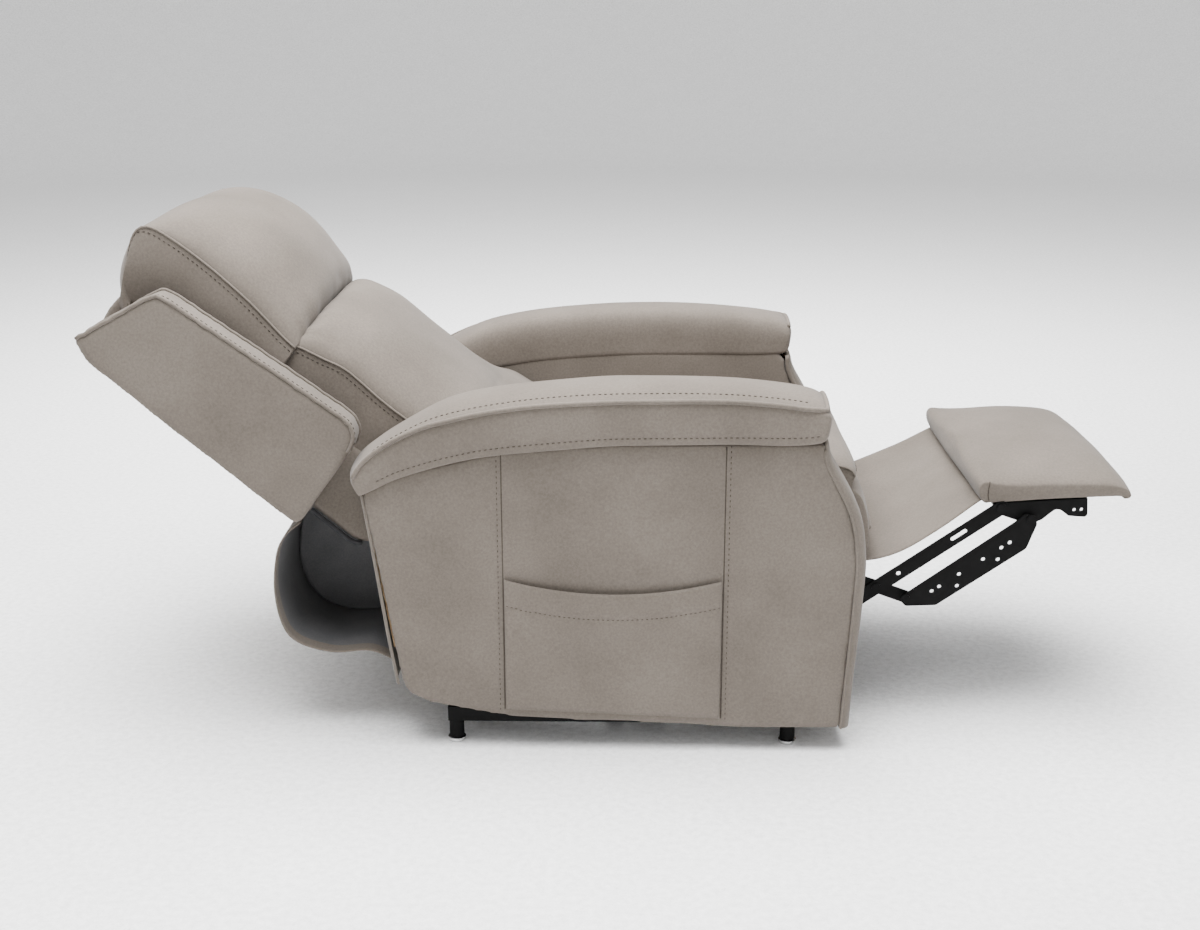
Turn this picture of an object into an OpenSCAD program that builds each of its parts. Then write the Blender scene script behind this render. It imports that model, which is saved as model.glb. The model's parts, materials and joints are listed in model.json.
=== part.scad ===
// Lift recliner chair, stored reclined with the footrest out and the lift down.
// +X is the way the sitter faces, +Y is the sitter's left, +Z is up.
// The origin is at the middle of the bounding box, on the floor.

/* [Width] */
// Half width over the overhanging arm caps
cap_y = 400; // [396:1:404]
// Half width over the side panels of the arms
side_y = 382; // [381:1:384]
// Half width of the seat opening between the arms
inner_y = 263; // [263:0.5:264]
// Half width over the wings of the back
wing_y = 365; // [360:1:370]
// Thickness of an upholstered panel
panel_t = 20; // [18:0.5:20]

/* [Back] */
// Slope of the reclined back above the horizontal
back_slope = 35.3; // [35:0.1:36]
// Half width of the lumbar cushion
lumbar_y = 256; // [250:1:258]
// Half width of the head cushion
head_y = 272; // [262:1:280]
// Radius of the lower end of the back cushion about its pivot
tail_r = 185; // [180:1:185]

/* [Seat] */
// Half width of the seat cushion
seat_y = 261; // [255:1:261]
// Height of the top of the seat box
box_top = 345; // [344:0.5:346]
// Diameter of a seat spring's wire
spring_d = 4; // [3:0.5:5]

/* [Footrest] */
// Half width of the footrest pad
pad_y = 256; // [250:1:258]
// Depth of the footrest pad
pad_l = 244; // [236:1:246]
// Slope of the open footrest pad
pad_slope = 3.6; // [3:0.1:4]
// Turn of the footrest from open to closed
foot_turn = 94; // [94:0.5:95]
// Thickness of a linkage strap
strap_t = 4; // [3:0.5:4]

/* [Lift] */
// Height of the floor frame's tubes above the floor
rail_z = 40; // [38:1:40]
// Side of the floor frame's square tubes
rail_h = 25; // [24:1:26]
// Radius of the lift pivots' bolts
bolt_r = 6; // [5:0.5:6]
// Radius of an actuator's outer tube
tube_r = 16; // [15:0.5:17]
// Radius of an actuator's rod
rod_r = 9; // [8:0.5:10]

/* [Hidden] */
$fn = 48;
arc_n = 6;                   // steps in each rounded corner
run_fit = 0.05;              // radial clearance of a turning pivot
gap = 0.3;                   // clearance between separate pieces
wall = 2;                    // wall of the steel tubes

fabric = "#8f8880";
lining = "#55555a";
steel = "#1b1b1d";
silver = "#b9babd";
wood = "#c8a878";
plastic = "#2a2a2c";

// Pivots, as [x, z]
back_pivot = [-181, 330];
lift_base = [225, 105];
lift_chassis = [-215, 105];
guide_base = [235, 130];
guide_chassis = [-200, 153];
pad_in = [622, 393];         // lower inner edge of the open footrest
pad_shut = [352, 283];       // the same edge with the footrest closed
arm_top = [455, 243];        // front arm to upper link
arm_end = [505, 225];        // front arm to lower link
foot_a = [658, 387];         // upper link to footrest
foot_b = foot_a + arm_end - arm_top;
// The front arm's own pivot closes the parallelogram at both ends of its turn
foot_move = pad_shut + turned(foot_a - pad_in, foot_turn) - foot_a;
foot_arm = arm_top - unturned(foot_move, foot_turn);
link_dir = unit(foot_a - arm_top);
tail = -45 * link_dir;       // rear end of the upper link, from arm_top
tail_pin = arm_top + tail;
control_pivot = foot_arm + tail;
torque = foot_arm + 110 * unit(arm_top - foot_arm);

// Actuator pivots: housing end and rod end, as [x, z]
lift_mount = [110, 85];
lift_rod_end = [-200, 200];
back_mount = [100, 225];
back_rod_end = [-155, 255];
foot_mount = [-215, 160];
foot_rod_end = foot_arm + [35, -35];
back_act_y = 70;
foot_act_y = -70;

// Cross members, as [x, z]
lift_tube = [0, 78];
rear_tube = [-240, 190];
front_tube = [92, 277];
back_tube = back_pt([57, -65]);

// Layers across the chair, each as [inner y, outer y]
hinge_y = [226, 232];
plate_y = [234, 239];
arm_y = [240, 240 + strap_t];
upper_y = [245, 245 + strap_t];
lower_y = [250, 250 + strap_t];
chassis_y = [264, 284];
lift_y = [296, 308];
guide_y = [316, 322];
rail_y = [332, 358];
foot_x = [-257, 302];
pivot_r = 5;                 // rivets of the footrest linkage
post_r = 12.5;
glide_r = 15;
seat_box_x = 8;
seat_box_l = 382;
seat_rail = 25;
frame_z = 175;               // lower edge of the arms' frames, over the lift linkage

// ---- Functions -------------------------------------------------------------

function unit(v) = v / norm(v);

// [x, z] turned by a degrees the way a joint about +Y turns it
function turned(v, a) = [v.x * cos(a) + v.y * sin(a), v.y * cos(a) - v.x * sin(a)];

// The vector that moves by m when it turns by a degrees
function unturned(m, a) =
    let (c = cos(a) - 1, s = sin(a), d = c * c + s * s)
    [(c * m.x - s * m.y) / d, (s * m.x + c * m.y) / d];

// A place on the back: v.x up the back from its pivot, v.y towards the sitter
function back_pt(v) = back_pivot
    + v.x * [-cos(back_slope), sin(back_slope)]
    + v.y * [sin(back_slope), cos(back_slope)];
function back_pts(list) = [for (v = list) concat(back_pt(v), len(v) > 2 ? v[2] : 0)];

// A place on the footrest: v.x outwards from its inner edge, v.y up
function pad_pt(v) = pad_in
    + v.x * [cos(pad_slope), sin(pad_slope)]
    + v.y * [-sin(pad_slope), cos(pad_slope)];
function pad_pts(list) = [for (v = list) concat(pad_pt(v), len(v) > 2 ? v[2] : 0)];

// One corner [x, z, radius] of an outline as an arc between its neighbours
function corner(a, b, c, r) = r <= 0 ? [b] :
    let (u = unit(a - b), v = unit(c - b), h = acos(u * v) / 2,
         m = b + unit(u + v) * r / sin(h), s = b + u * r / tan(h), e = b + v * r / tan(h),
         a0 = atan2(s.y - m.y, s.x - m.x), a1 = atan2(e.y - m.y, e.x - m.x),
         d = (a1 - a0 + 540) % 360 - 180)
    [for (i = [0:arc_n]) m + r * [cos(a0 + d * i / arc_n), sin(a0 + d * i / arc_n)]];
function xz(p) = [p.x, p.y];
function rounded(p) = [for (i = [0:len(p) - 1])
    each corner(xz(p[(i + len(p) - 1) % len(p)]), xz(p[i]), xz(p[(i + 1) % len(p)]),
                len(p[i]) > 2 ? p[i][2] : 0)];

// Smooth curve through a list of points
function bend(a, b, c, d, t) = 0.5 * (2 * b + (c - a) * t
    + (2 * a - 5 * b + 4 * c - d) * t * t + (3 * b - a - 3 * c + d) * t * t * t);
function curve(p, n = 5) = [for (i = [0:len(p) - 2], k = [0:n - 1])
    bend(p[max(i - 1, 0)], p[i], p[i + 1], p[min(i + 2, len(p) - 1)], k / n), p[len(p) - 1]];

// Outline of a sheet of thickness t whose one face follows a curve
function normal_at(p, i) = let (a = p[max(i - 1, 0)], b = p[min(i + 1, len(p) - 1)], u = unit(b - a))
    [-u.y, u.x];
function sheet(p, t) = concat(p, [for (i = [len(p) - 1:-1:0]) p[i] + t * normal_at(p, i)]);

function arc(c, r, a0, a1, n = 12) = [for (i = [0:n])
    c + r * [cos(a0 + (a1 - a0) * i / n), sin(a0 + (a1 - a0) * i / n)]];

// ---- Outlines in [x, z] ----------------------------------------------------

lip_rear = [[-400, 442], [-330, 480], [-171, 519], [-13, 531]];
ridge_line = curve([[-422, 471], [-388, 509], [-338, 547], [-256, 588], [-79, 619], [65, 625],
                    [208, 621], [304, 610], [353, 588], [364, 560]], 3);
front_face = curve([[341, 534], [352, 498], [399, 416], [412, 349], [411, 280], [397, 50]], 3);
front_back = curve([[325, 534], [332, 498], [373, 416], [385, 349], [384, 280], [371, 51]], 3);
side_foot = [[189, 53], [-170, 68], [-300, 90, 20], [-336, 106, 24]];
cover_line = curve([[-512, 377], [-541, 352], [-557, 312], [-562, 243], [-536, 174], [-472, 145],
                    [-402, 148], [-352, 124], [-322, 104]], 4);
pocket_top = curve([[-172, 302], [-80, 286], [11, 282], [100, 288], [187, 307]], 3);

// ---- Shapes that repeat ----------------------------------------------------

// Builds its children on the sitter's left (s = 1) or right (s = -1)
module on_side(s) {
    if (s > 0) children();
    else mirror([0, 1, 0]) children();
}

module both_sides() {
    children();
    mirror([0, 1, 0]) children();
}

// An [x, z] drawing given depth from y0 to y1
module across(y0, y1) {
    translate([0, y1, 0]) rotate([90, 0, 0]) linear_extrude(height = y1 - y0) children();
}

module slab(points, y0, y1) {
    across(y0, y1) polygon(points);
}

module pin(at, r, y0, y1) {
    translate([at.x, y1, at.y]) rotate([90, 0, 0]) cylinder(r = r, h = y1 - y0);
}

// A round-ended strap between two points; the web is a hair narrower than the ends
module strap(a, b, w) {
    translate(a) rotate(atan2(b.y - a.y, b.x - a.x)) {
        circle(d = w);
        translate([0, 0.2 - w / 2]) square([norm(b - a), w - 0.4]);
        translate([norm(b - a), 0]) circle(d = w);
    }
}

module hole(at, r) {
    translate(at) circle(r = r);
}

// A square tube along X, open at its ends
module box_tube_x(x0, x1, y0, z0, w, h) {
    translate([x0, y0, z0]) difference() {
        cube([x1 - x0, w, h]);
        translate([-1, wall, wall]) cube([x1 - x0 + 2, w - 2 * wall, h - 2 * wall]);
    }
}

module box_tube_y(x0, y1, z0, w, h) {
    translate([x0, -y1, z0]) difference() {
        cube([w, 2 * y1, h]);
        translate([wall, -1, wall]) cube([w - 2 * wall, 2 * y1 + 2, h - 2 * wall]);
    }
}

module round_tube_y(at, r, y1) {
    difference() {
        pin(at, r, -y1, y1);
        pin(at, r - wall, -y1 - 1, y1 + 1);
    }
}

// Places children drawn along +X from the origin onto the line from a to b
module aimed(a, b, y) {
    translate([a.x, y, a.y]) rotate([0, -atan2(b.y - a.y, b.x - a.x), 0]) children();
}

// Linear actuator: trunnion, gear block, motor (up or down) and outer tube with its bore
module actuator_body(a, b, y, length, motor_dir) {
    block = 36;
    motor_l = 72;
    aimed(a, b, y) difference() {
        union() {
            translate([-block / 2, -block / 2, -block / 2]) cube([block, block, block]);
            rotate([0, 90, 0]) cylinder(r = tube_r, h = length);
            rotate([90, 0, 0]) cylinder(r = pivot_r, h = 54, center = true);
            rotate([motor_dir > 0 ? 0 : 180, 0, 0]) cylinder(r = 20, h = block / 2 + motor_l);
        }
        translate([60, 0, 0]) rotate([0, 90, 0]) cylinder(r = rod_r + run_fit, h = length);
    }
}

// Actuator rod with an upright slotted yoke around the pin that it pushes
module actuator_rod(a, b, y, start, slot_w, slot_h) {
    neck = 26;
    yoke_w = slot_w + 16;
    aimed(a, b, y) translate([start, 0, 0]) rotate([0, 90, 0])
        cylinder(r = rod_r, h = norm(b - a) - start - neck);
    across(y - 6, y + 6) difference() {
        union() {
            translate(b) strap([0, -slot_h / 2], [0, slot_h / 2], yoke_w);
            strap(b - (neck + 4) * unit(b - a), b, 2 * rod_r - 4);
        }
        translate(b) strap([0, -slot_h / 2], [0, slot_h / 2], slot_w);
    }
}

// A pair of lug plates each side of y, from a tube to a pivot
module lugs(a, b, w, y, y0, y1, bore) {
    for (k = [0, 1])
        translate([0, y, 0]) mirror([0, k, 0]) across(y0, y1) difference() {
            strap(a, b, w);
            if (bore > 0) hole(b, bore);
        }
}

// ---- Floor frame -----------------------------------------------------------

module base_rail(s) {
    color(steel) on_side(s) {
        difference() {
            union() {
                translate([foot_x[0] - 13, rail_y[0], rail_z]) cube([585, rail_y[1] - rail_y[0], rail_h]);
                for (x = foot_x)
                    translate([x, (rail_y[0] + rail_y[1]) / 2, 8]) cylinder(r = post_r, h = rail_z - 7);
            }
            translate([foot_x[0] + post_r + 2, rail_y[0] + wall, rail_z + wall])
                cube([foot_x[1] - foot_x[0] - 2 * post_r - 4, rail_y[1] - rail_y[0] - 2 * wall, rail_h]);
            for (x = foot_x)
                translate([x, (rail_y[0] + rail_y[1]) / 2, 0]) cylinder(r = 4.2, h = 30);
        }
        across(rail_y[0] - 6, rail_y[0] + 0.01) difference() {
            polygon(rounded([[196, 42], [276, 42], [262, 140, 12], [232, 152, 10], [208, 136, 12]]));
            hole(lift_base, bolt_r + 0.1);
            hole(guide_base, bolt_r + 0.1);
        }
    }
}

module base_cross_tubes() {
    color(steel) {
        box_tube_y(foot_x[0] - 13, rail_y[0] - gap / 10, rail_z, 25, rail_h);
        box_tube_y(50, rail_y[0] - gap / 10, rail_z, 25, rail_h);
    }
}

module levelling_glides() {
    color(silver) both_sides() for (x = foot_x)
        translate([x, (rail_y[0] + rail_y[1]) / 2, 0]) {
            cylinder(r1 = glide_r - 2, r2 = glide_r, h = 3);
            translate([0, 0, 3]) cylinder(r = glide_r, h = 4);
            translate([0, 0, 7]) cylinder(r = 4, h = 18);
        }
}

module base_pivot_bolts() {
    color(silver) both_sides() {
        pin(lift_base, bolt_r, 288, rail_y[0] + 6);
        pin(lift_base, 9, 286, 290);
        pin(lift_base, 10, rail_y[0] + 0.3, rail_y[0] + 6);
        pin(guide_base, bolt_r, 313, rail_y[0] + 6);
        pin(guide_base, 8, 312.6, 315.6);
        pin(guide_base, 10, rail_y[0] + 0.3, rail_y[0] + 6);
    }
}

module control_box() {
    color(plastic) difference() {
        translate([-244.5, 100, 44]) linear_extrude(height = 38)
            polygon(rounded([[0, 0], [120, 0, 10], [120, 120, 10], [0, 120]]));
        pin([-185, 64], 6.2, 208, 221);
    }
}

module power_inlet() {
    color(plastic) difference() {
        union() {
            pin([-185, 64], 6, 209, 220);
            pin([-185, 64], 8, 220.1, 222);
        }
        pin([-185, 64], 2.75, 212, 223);
    }
}

// ---- Lift linkage ----------------------------------------------------------

module lift_arm(s) {
    color(steel) on_side(s) {
        across(lift_y[0], lift_y[1]) difference() {
            union() {
                strap(lift_chassis, lift_base, 30);
                strap(lift_tube + [0, 22], lift_tube, 32);
            }
            hole(lift_base, bolt_r + run_fit);
            hole(lift_chassis, bolt_r + run_fit);
        }
        for (p = [lift_base, lift_chassis])
            across(292, lift_y[0] + 0.01) difference() {
                hole(p, 14);
                hole(p, bolt_r + run_fit);
            }
    }
}

module lift_torque_tube() {
    color(steel) {
        round_tube_y(lift_tube, 12.5, lift_y[0]);
        lugs(lift_tube, lift_mount, 26, 0, 20, 26, pivot_r + run_fit);
    }
}

module guide_links() {
    color(steel) both_sides() across(guide_y[0], guide_y[1]) difference() {
        strap(guide_chassis, guide_base, 20);
        hole(guide_base, bolt_r + run_fit);
        // the open pivot of the four-bar: its hole is oversize
        hole(guide_chassis, bolt_r + 1.4);
    }
}

module lift_actuator_body() {
    color(plastic) actuator_body(lift_mount, lift_rod_end, 0, 250, -1);
}

module lift_actuator_rod() {
    color(silver) actuator_rod(lift_mount, lift_rod_end, 0, 130, 2 * pivot_r + 2.2, 4);
}

// ---- Chassis ---------------------------------------------------------------

module chassis_rail(s) {
    color(steel) on_side(s) {
        box_tube_x(-258, 335, chassis_y[0], 95, chassis_y[1] - chassis_y[0], 30);
        across(chassis_y[1] - 0.01, 290) difference() {
            polygon(rounded([[-240, 97], [-188, 97], [-180, 150, 12], [-200, 170, 14], [-238, 120, 12]]));
            hole(lift_chassis, bolt_r + 0.1);
            hole(guide_chassis, bolt_r + 0.1);
        }
        // uprights that carry the mechanism plate
        for (u = [[-225, 150], [20, 210]]) {
            translate([u[0], plate_y[1], 95]) cube([25, inner_y - gap - plate_y[1], u[1]]);
            translate([u[0] + 1, inner_y - 1, 97]) cube([23, chassis_y[0] - inner_y + 1.01, 26]);
        }
    }
}

module chassis_cross_tubes() {
    color(steel) {
        for (p = [rear_tube, front_tube])
            round_tube_y(p, 12.5, plate_y[0]);
        lugs(rear_tube, lift_rod_end, 24, 0, 7.5, 12.5, 0);
        pin(lift_rod_end, pivot_r, -12.5, 12.5);
        lugs(rear_tube, foot_mount, 24, foot_act_y, 20, 25, pivot_r + run_fit);
        lugs(front_tube, back_mount, 24, back_act_y, 20, 25, pivot_r + run_fit);
    }
}

module mechanism_plate(s) {
    color(steel) on_side(s) across(plate_y[0], plate_y[1]) difference() {
        union() {
            polygon([[-258, 172], [-215, 172], [-195, 252], [215, 252], [250, 268], [268, 300],
                     [268, 345], [10, 345], [10, 312], [-258, 312]]);
            hole(back_pivot, 30);
        }
        hole(back_pivot, 8.1);
        hole(foot_arm, pivot_r + 1.1);
        hole(control_pivot, pivot_r + 0.1);
    }
}

module chassis_pins() {
    color(silver) both_sides() {
        // back pivots
        pin(back_pivot, 8, 222, plate_y[1] + 2);
        pin(back_pivot, 12, plate_y[1] + 0.1, plate_y[1] + 4);
        // front arm pivots
        pin(foot_arm, pivot_r + 1, plate_y[0], arm_y[1] + 3);
        pin(foot_arm, 10, arm_y[1] + gap, arm_y[1] + 3.5);
        // control link pivots
        pin(control_pivot, pivot_r, plate_y[0], arm_y[1] + 3);
        pin(control_pivot, 8, arm_y[1] + gap, arm_y[1] + 3.5);
        // lift arm pivots
        pin(lift_chassis, bolt_r, chassis_y[1] + 0.2, lift_y[1] + 4);
        pin(lift_chassis, 10, lift_y[1] + gap, lift_y[1] + 5);
        // guide link pivots, long enough to cross the lift arm's layer
        pin(guide_chassis, bolt_r, chassis_y[1] + 0.2, guide_y[1] + 3);
        pin(guide_chassis, 9, guide_y[1] + gap, guide_y[1] + 4);
    }
}

module seat_box() {
    half = plate_y[0] - gap;
    color(wood) translate([seat_box_x, 0, box_top - 45]) difference() {
        translate([0, -half, 0]) cube([seat_box_l, 2 * half, 45]);
        translate([seat_rail, seat_rail - half, -1])
            cube([seat_box_l - 2 * seat_rail, 2 * (half - seat_rail), 50]);
    }
}

// Sinuous springs: half rings joined end to end, from front to back of the seat box
module seat_springs() {
    loops = 12;
    loop_r = (seat_box_l - 2 * seat_rail - 2 * gap) / (2 * loops);
    start = seat_box_x + seat_rail + gap + loop_r;
    color(silver) for (y = [-160, -80, 0, 80, 160])
        translate([0, y, box_top - 8]) linear_extrude(height = spring_d)
            for (i = [0:loops - 1])
                translate([start + i * (2 * loop_r - 0.02), 0]) spring_loop(loop_r, i % 2);
}

module spring_loop(r, flip) {
    mirror([0, flip, 0]) intersection() {
        difference() {
            circle(r = r);
            circle(r = r - spring_d);
        }
        translate([-r, 0]) square([2 * r, r]);
    }
}

module seat_cushion() {
    back_arc = arc(back_pivot, tail_r + 3, 4.9, 44);
    color(fabric) slab(rounded(concat(back_arc, [
        [-30, 470, 12], [385, 474, 20], [416, 456, 16], [427, 430], [433, 369], [434, 325],
        [427, 294, 8], [391, 294], [391, box_top + gap]])), -seat_y, seat_y);
}

module rear_tack_rail() {
    color(wood) translate([-318, -side_y + panel_t + gap, 98])
        cube([20, 2 * (side_y - panel_t - gap), 24]);
}

// ---- Arms ------------------------------------------------------------------

function lowered(list, d) = [for (p = list) [p.x, p.y - d]];
function shifted(list, d) = [for (p = list) [p.x + d, p.y]];

// Outline inside an arm: under the cap, behind the front panel, down to the rear edge
inside_arm = concat([[-355, 170], [-398, 438]], lowered(lip_rear, gap + 0.5),
                    lowered(shifted(front_back, -gap - 1), gap + 0.5));

module inside_arm_area() {
    intersection() {
        polygon(inside_arm);
        translate([-500, frame_z]) square([1000, 500]);
    }
}

module arm_frame(s) {
    color(wood) on_side(s)
        across(inner_y + panel_t + gap, side_y - panel_t - gap) difference() {
            inside_arm_area();
            polygon(concat([[-300, 150], [-330, 430]], lowered([for (i = [1:3]) lip_rear[i]], 40), [[322, 480], [322, 150]]));
        }
}

module arm_inner_panel(s) {
    color(fabric) on_side(s) across(inner_y, inner_y + panel_t) inside_arm_area();
}

module arm_side_panel(s) {
    edge = concat(lip_rear, shifted(front_back, -gap));
    color(fabric) on_side(s) slab(rounded(concat(lowered(edge, gap), side_foot)), side_y - panel_t, side_y);
}

module arm_front_panel(s) {
    color(fabric) on_side(s)
        slab(concat(lowered([for (i = [len(front_back) - 1:-1:0]) front_back[i]], gap),
                    lowered(front_face, gap)), inner_y, side_y);
}

module arm_cap(s) {
    outline = concat(lip_rear, [[352, 534]], [for (i = [len(ridge_line) - 1:-1:0]) ridge_line[i]],
                     [[-414, 446]]);
    color(fabric) on_side(s) slab(outline, inner_y, cap_y);
}

module side_pocket(s) {
    foot = 72;
    color(fabric) on_side(s) {
        across(389, 391) polygon(concat([[187, 57], [-172, foot]], pocket_top));
        across(side_y, 389.01) {
            polygon([[-172, foot], [-168, foot], [-168, 300], [-172, 302]]);
            polygon([[183, 58], [187, 57], [187, 306], [183, 305]]);
            polygon([[-172, foot], [187, 57], [187, 62], [-172, foot + 5]]);
        }
    }
}

// ---- Loose fabric ----------------------------------------------------------

module leg_flap() {
    from = [437, 297];
    to = [616, 388];
    sag = 22;
    line = [for (i = [0:16]) let (t = i / 16) from + t * (to - from) - [0, 4 * sag * t * (1 - t)]];
    color(fabric) slab(sheet(line, 3), -236, 236);
}

module rear_cover() {
    color(lining) slab(sheet(cover_line, 3), -318, 318);
}

// ---- Back ------------------------------------------------------------------

module back_slab(points, y0, y1) {
    slab(rounded(back_pts(points)), y0, y1);
}

module back_frame() {
    post_t = 20;
    color(wood) {
        both_sides() back_slab([[45, -28], [740, -28], [740, -84], [716, -86], [300, -122], [200, -118],
                                [45, -60]], hinge_y[0] - gap - post_t, hinge_y[0] - gap);
        for (p = [[90, 110], [420, 440], [715, 738]])
            back_slab([[p[0], -28], [p[1], -28], [p[1], -58], [p[0], -58]],
                      -(hinge_y[0] - gap - post_t) - 0.01, hinge_y[0] - gap - post_t + 0.01);
    }
}

module back_hinge_plates() {
    color(steel) both_sides() across(hinge_y[0], hinge_y[1]) difference() {
        union() {
            hole(back_pivot, 24);
            polygon([for (p = back_pts([[0, 22], [30, -6], [40, -30], [190, -32], [190, -80], [60, -84],
                                        [-20, -12]])) xz(p)]);
        }
        hole(back_pivot, 8 + run_fit);
        for (p = [[110, -60], [160, -60]])
            hole(back_pt(p), 4);
    }
}

module back_torque_tube() {
    color(steel) {
        round_tube_y(back_tube, 11, hinge_y[0] - gap - 20.2);
        lugs(back_tube, back_rod_end, 20, back_act_y, 7.5, 12.5, 0);
        pin(back_rod_end, pivot_r, back_act_y - 12.5, back_act_y + 12.5);
    }
}

module outside_back_panel() {
    y1 = wing_y - 60 - 1;
    color(fabric) {
        back_slab([[296, -128], [716, -92], [716, -108], [296, -144]], -y1, y1);
        back_slab([[200, -136], [296.01, -128], [296.01, -144], [200, -152, 8]], -255, 255);
    }
}

module back_wing(s) {
    color(fabric) on_side(s)
        back_slab([[751, -88, 6], [683, 53, 24], [317, 53, 16], [295, 27, 14], [296, -144, 14], [716, -108, 14]],
                  wing_y - 60, wing_y);
}

module head_cushion() {
    color(fabric) back_slab([[468, -27], [470, 118], [478, 146, 8], [520, 172, 30], [598, 187, 60],
                             [690, 178, 60], [752, 140, 40], [800, 75, 40], [820, 0, 30], [815, -50, 16],
                             [790, -75, 10], [742, -60], [742, -27]], -head_y, head_y);
}

module lumbar_cushion() {
    tail_arc = [for (p = arc([0, 0], tail_r, 47.9, 104.7)) p];
    color(fabric) back_slab(concat([[466, -27], [42, -27], [10, 62], [-18, 68]],
        [for (i = [len(tail_arc) - 1:-1:0]) tail_arc[i]],
        [[150, 150, 10], [210, 154], [302, 160, 40], [416, 168, 20], [462, 145, 8]]), -lumbar_y, lumbar_y);
}

module back_actuator_body() {
    color(plastic) actuator_body(back_mount, back_rod_end, back_act_y, 180, 1);
}

module back_actuator_rod() {
    color(silver) actuator_rod(back_mount, back_rod_end, back_act_y, 85, 2 * pivot_r + 2, 14);
}

// ---- Footrest --------------------------------------------------------------

module footrest_actuator_body() {
    color(plastic) actuator_body(foot_mount, foot_rod_end, foot_act_y, 380, -1);
}

module footrest_actuator_rod() {
    color(silver) actuator_rod(foot_mount, foot_rod_end, foot_act_y, 150, 2 * pivot_r + 4, 32);
}

module front_arm(s) {
    color(steel) on_side(s) across(arm_y[0], arm_y[1]) difference() {
        union() {
            strap(foot_arm, arm_top, 22);
            strap(arm_top, arm_end, 22);
        }
        hole(foot_arm, pivot_r + 1 + run_fit);
        for (p = [arm_top, arm_end])
            hole(p, pivot_r + 0.1);
    }
}

module footrest_torque_tube() {
    color(steel) {
        round_tube_y(torque, 11, arm_y[0]);
        lugs(torque, foot_rod_end, 20, foot_act_y, 7.5, 12.5, 0);
        pin(foot_rod_end, pivot_r, foot_act_y - 12.5, foot_act_y + 12.5);
    }
}

module front_arm_rivets() {
    color(silver) both_sides() {
        pin(arm_top, pivot_r, arm_y[0] - 2, upper_y[1] + 1);
        pin(arm_top, 8, upper_y[1] + gap, upper_y[1] + 2.5);
        pin(arm_end, pivot_r, arm_y[0] - 2, lower_y[1] + 1);
        pin(arm_end, 8, lower_y[1] + gap, lower_y[1] + 2.5);
    }
}

module control_links() {
    color(steel) both_sides() across(arm_y[0], arm_y[1]) difference() {
        strap(control_pivot, tail_pin, 20);
        for (p = [control_pivot, tail_pin])
            hole(p, pivot_r + run_fit);
    }
}

module upper_link(s) {
    color(steel) on_side(s) {
        across(upper_y[0], upper_y[1]) difference() {
            strap(tail_pin, foot_a, 24);
            hole(arm_top, pivot_r + run_fit);
            hole(foot_a, pivot_r + run_fit);
            hole(arm_top + 45 * link_dir, 4);
            translate(arm_top + 165 * link_dir) rotate(atan2(link_dir.y, link_dir.x))
                strap([-12, 0], [12, 0], 8);
        }
        // stud that carries the control link
        pin(tail_pin, pivot_r, arm_y[0] - 2, upper_y[0] + 0.01);
    }
}

module lower_links() {
    plate = [[-10, -2, 8], [0, -13, 8], [52, -11, 12], [198, 92, 12], [214, 138, 8], [196, 156, 10],
             [176, 138, 8], [4, 12, 8]];
    row_start = arm_end + [44, 14];
    row_end = arm_end + [178, 108];
    color(steel) both_sides() across(lower_y[0], lower_y[1]) difference() {
        polygon([for (p = rounded(plate)) arm_end + p]);
        hole(arm_end, pivot_r + run_fit);
        hole(foot_b, pivot_r + run_fit);
        for (t = [0, 0.09, 0.33, 0.62, 0.84, 0.94])
            hole(row_start + t * (row_end - row_start), 3.5);
        for (p = [[86, 24], [152, 72]])
            hole(arm_end + p, 3.5);
    }
}

module footrest_brackets() {
    flange = pad_pts([[22, -1], [22, -16, 8], [40, -24, 10], [84, -42, 10], [104, -34, 14], [130, -14, 12],
                      [148, -30, 6], [180, -34, 6], [180, -1]]);
    color(steel) both_sides() {
        across(arm_y[0], arm_y[1]) difference() {
            polygon(rounded(flange));
            hole(foot_a, pivot_r + 0.1);
            hole(foot_b, pivot_r + 0.1);
            hole(pad_pt([158, -20]), 3);
            hole(pad_pt([170, -20]), 3);
        }
        slab([for (p = pad_pts([[22, -4.5], [22, -0.5], [180, -0.5], [180, -4.5]])) xz(p)],
             arm_y[0] - 26, arm_y[0] + 0.01);
        pin(foot_a, pivot_r, arm_y[0] - 2, upper_y[1] + 1);
        pin(foot_a, 8, upper_y[1] + gap, upper_y[1] + 2.5);
        pin(foot_b, pivot_r, arm_y[0] - 2, lower_y[1] + 1);
        pin(foot_b, 8, lower_y[1] + gap, lower_y[1] + 2.5);
    }
}

module footrest_board() {
    color(wood) slab([for (p = pad_pts([[10, 0], [10, 9], [pad_l - 8, 9], [pad_l - 8, 0]])) xz(p)],
                     -pad_y + 18, pad_y - 18);
}

module footrest_pad() {
    color(fabric) slab(rounded(pad_pts([[0, 9.3, 6], [-4, 46, 16], [60, 52, 60], [180, 48, 80],
                                        [pad_l - 4, 34, 16], [pad_l, 9.3, 6]])), -pad_y, pad_y);
}

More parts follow.
